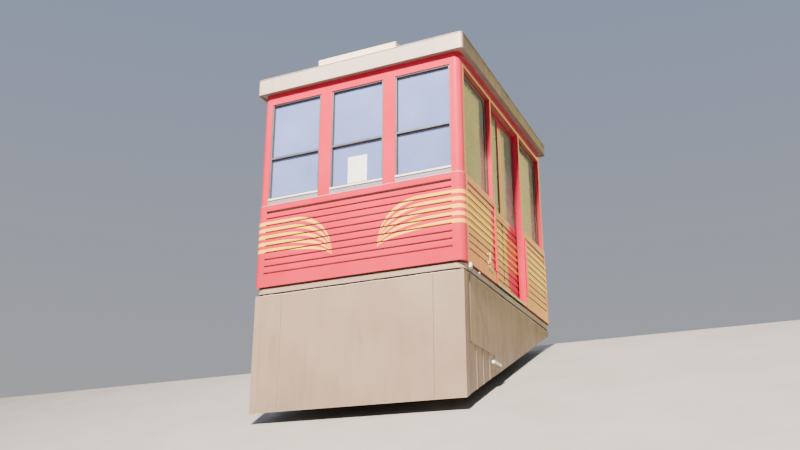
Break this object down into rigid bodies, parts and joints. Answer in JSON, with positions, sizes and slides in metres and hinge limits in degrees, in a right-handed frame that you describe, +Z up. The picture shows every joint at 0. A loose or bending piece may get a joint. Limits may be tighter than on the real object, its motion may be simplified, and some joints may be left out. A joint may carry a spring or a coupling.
{
  "type": "funicular car",
  "caption": "Level cabin with louvred lower walls, tall windows and paired sliding doors, on a sheeted wedge-shaped underframe with railway wheelsets for an inclined track.",
  "frame": {"origin": "middle of the rail-top plane between the four wheels, where the track carries the car", "axes": "+X to the right looking uphill, +Y uphill along the level floor, +Z up; the rail-top plane rises 22.5 degrees along +Y"},
  "size_m": [2.82, 3.36, 4.3506],
  "materials": {
    "red_paint": "gloss",
    "cream_paint": "satin",
    "skirt_paint": "matte",
    "roof_paint": "satin",
    "white_paint": "satin",
    "frame_paint": "matte",
    "aluminium": "satin",
    "galvanised": "matte",
    "wheel_steel": "machined",
    "cast_iron": "rough",
    "glass": "clear",
    "deck_rubber": "matte",
    "bench_plastic": "satin",
    "lamp_plastic": "satin"
  },
  "bodies": {
    "car": {"axle_boxes": "cast_iron", "belt_corners": "red_paint", "belt_end_strips": "red_paint", "belt_handle": "galvanised", "belt_plate": "white_paint", "benches": "bench_plastic", "brake_jaws": "cast_iron", "cable_box": "white_paint", "ceiling_lights": "lamp_plastic", "corner_posts": "red_paint", "cross_members": "frame_paint", "door_posts": "red_paint", "door_thresholds": "aluminium", "door_tracks": "aluminium", "end_beams": "cream_paint", "end_glass": "glass", "end_mullions": "red_paint", "end_panels": "red_paint", "end_skirts": "skirt_paint", "end_window_frames": "aluminium", "floor_bearers": "frame_paint", "floor_deck": "deck_rubber", "frame_braces": "frame_paint", "frame_posts": "frame_paint", "grab_poles": "aluminium", "header_rails": "red_paint", "outriggers": "frame_paint", "placard": "white_paint", "rail_brakes": "cast_iron", "roof_box": "roof_paint", "roof_fascia": "roof_paint", "roof_shell": "roof_paint", "rope_drawbar": "frame_paint", "side_conduit": "galvanised", "side_glass": "glass", "side_panels": "red_paint", "side_sills": "cream_paint", "side_skirts": "skirt_paint", "side_window_frames": "aluminium", "skirt_bar": "white_paint", "skirt_corner_trims": "skirt_paint", "skirt_head_rails": "frame_paint", "skirt_posts": "frame_paint", "skirt_rails": "frame_paint", "sole_bars": "frame_paint", "window_sills": "cream_paint"},
    "door_right_lower": {"door_leaf_right_lower": "red_paint", "door_glass_right_lower": "glass"},
    "door_right_upper": {"door_leaf_right_upper": "red_paint", "door_glass_right_upper": "glass"},
    "door_left_lower": {"door_leaf_left_lower": "red_paint", "door_glass_left_lower": "glass"},
    "door_left_upper": {"door_leaf_left_upper": "red_paint", "door_glass_left_upper": "glass"},
    "wheelset_lower": {"axle_lower": "wheel_steel", "wheels_lower": "wheel_steel"},
    "wheelset_upper": {"axle_upper": "wheel_steel", "wheels_upper": "wheel_steel"}
  },
  "joints": [
    {"name": "door_right_lower_slide", "type": "slide", "parent": "car", "child": "door_right_lower", "axis": [0, -1, 0], "range_m": [0, 0.54]},
    {"name": "door_right_upper_slide", "type": "slide", "parent": "car", "child": "door_right_upper", "axis": [0, 1, 0], "range_m": [0, 0.54]},
    {"name": "door_left_lower_slide", "type": "slide", "parent": "car", "child": "door_left_lower", "axis": [0, -1, 0], "range_m": [0, 0.54]},
    {"name": "door_left_upper_slide", "type": "slide", "parent": "car", "child": "door_left_upper", "axis": [0, 1, 0], "range_m": [0, 0.54]},
    {"name": "wheelset_lower_turn", "type": "hinge", "parent": "car", "child": "wheelset_lower", "pos_m": [0, -1.08515, -0.25465], "axis": [1, 0, 0], "continuous": true},
    {"name": "wheelset_upper_turn", "type": "hinge", "parent": "car", "child": "wheelset_upper", "pos_m": [0, 0.94738, 0.58725], "axis": [1, 0, 0], "continuous": true}
  ],
  "couplings": [
    {"joint": "door_right_upper_slide", "follows": "door_right_lower_slide", "ratio": 1},
    {"joint": "door_left_upper_slide", "follows": "door_left_lower_slide", "ratio": 1}
  ]
}
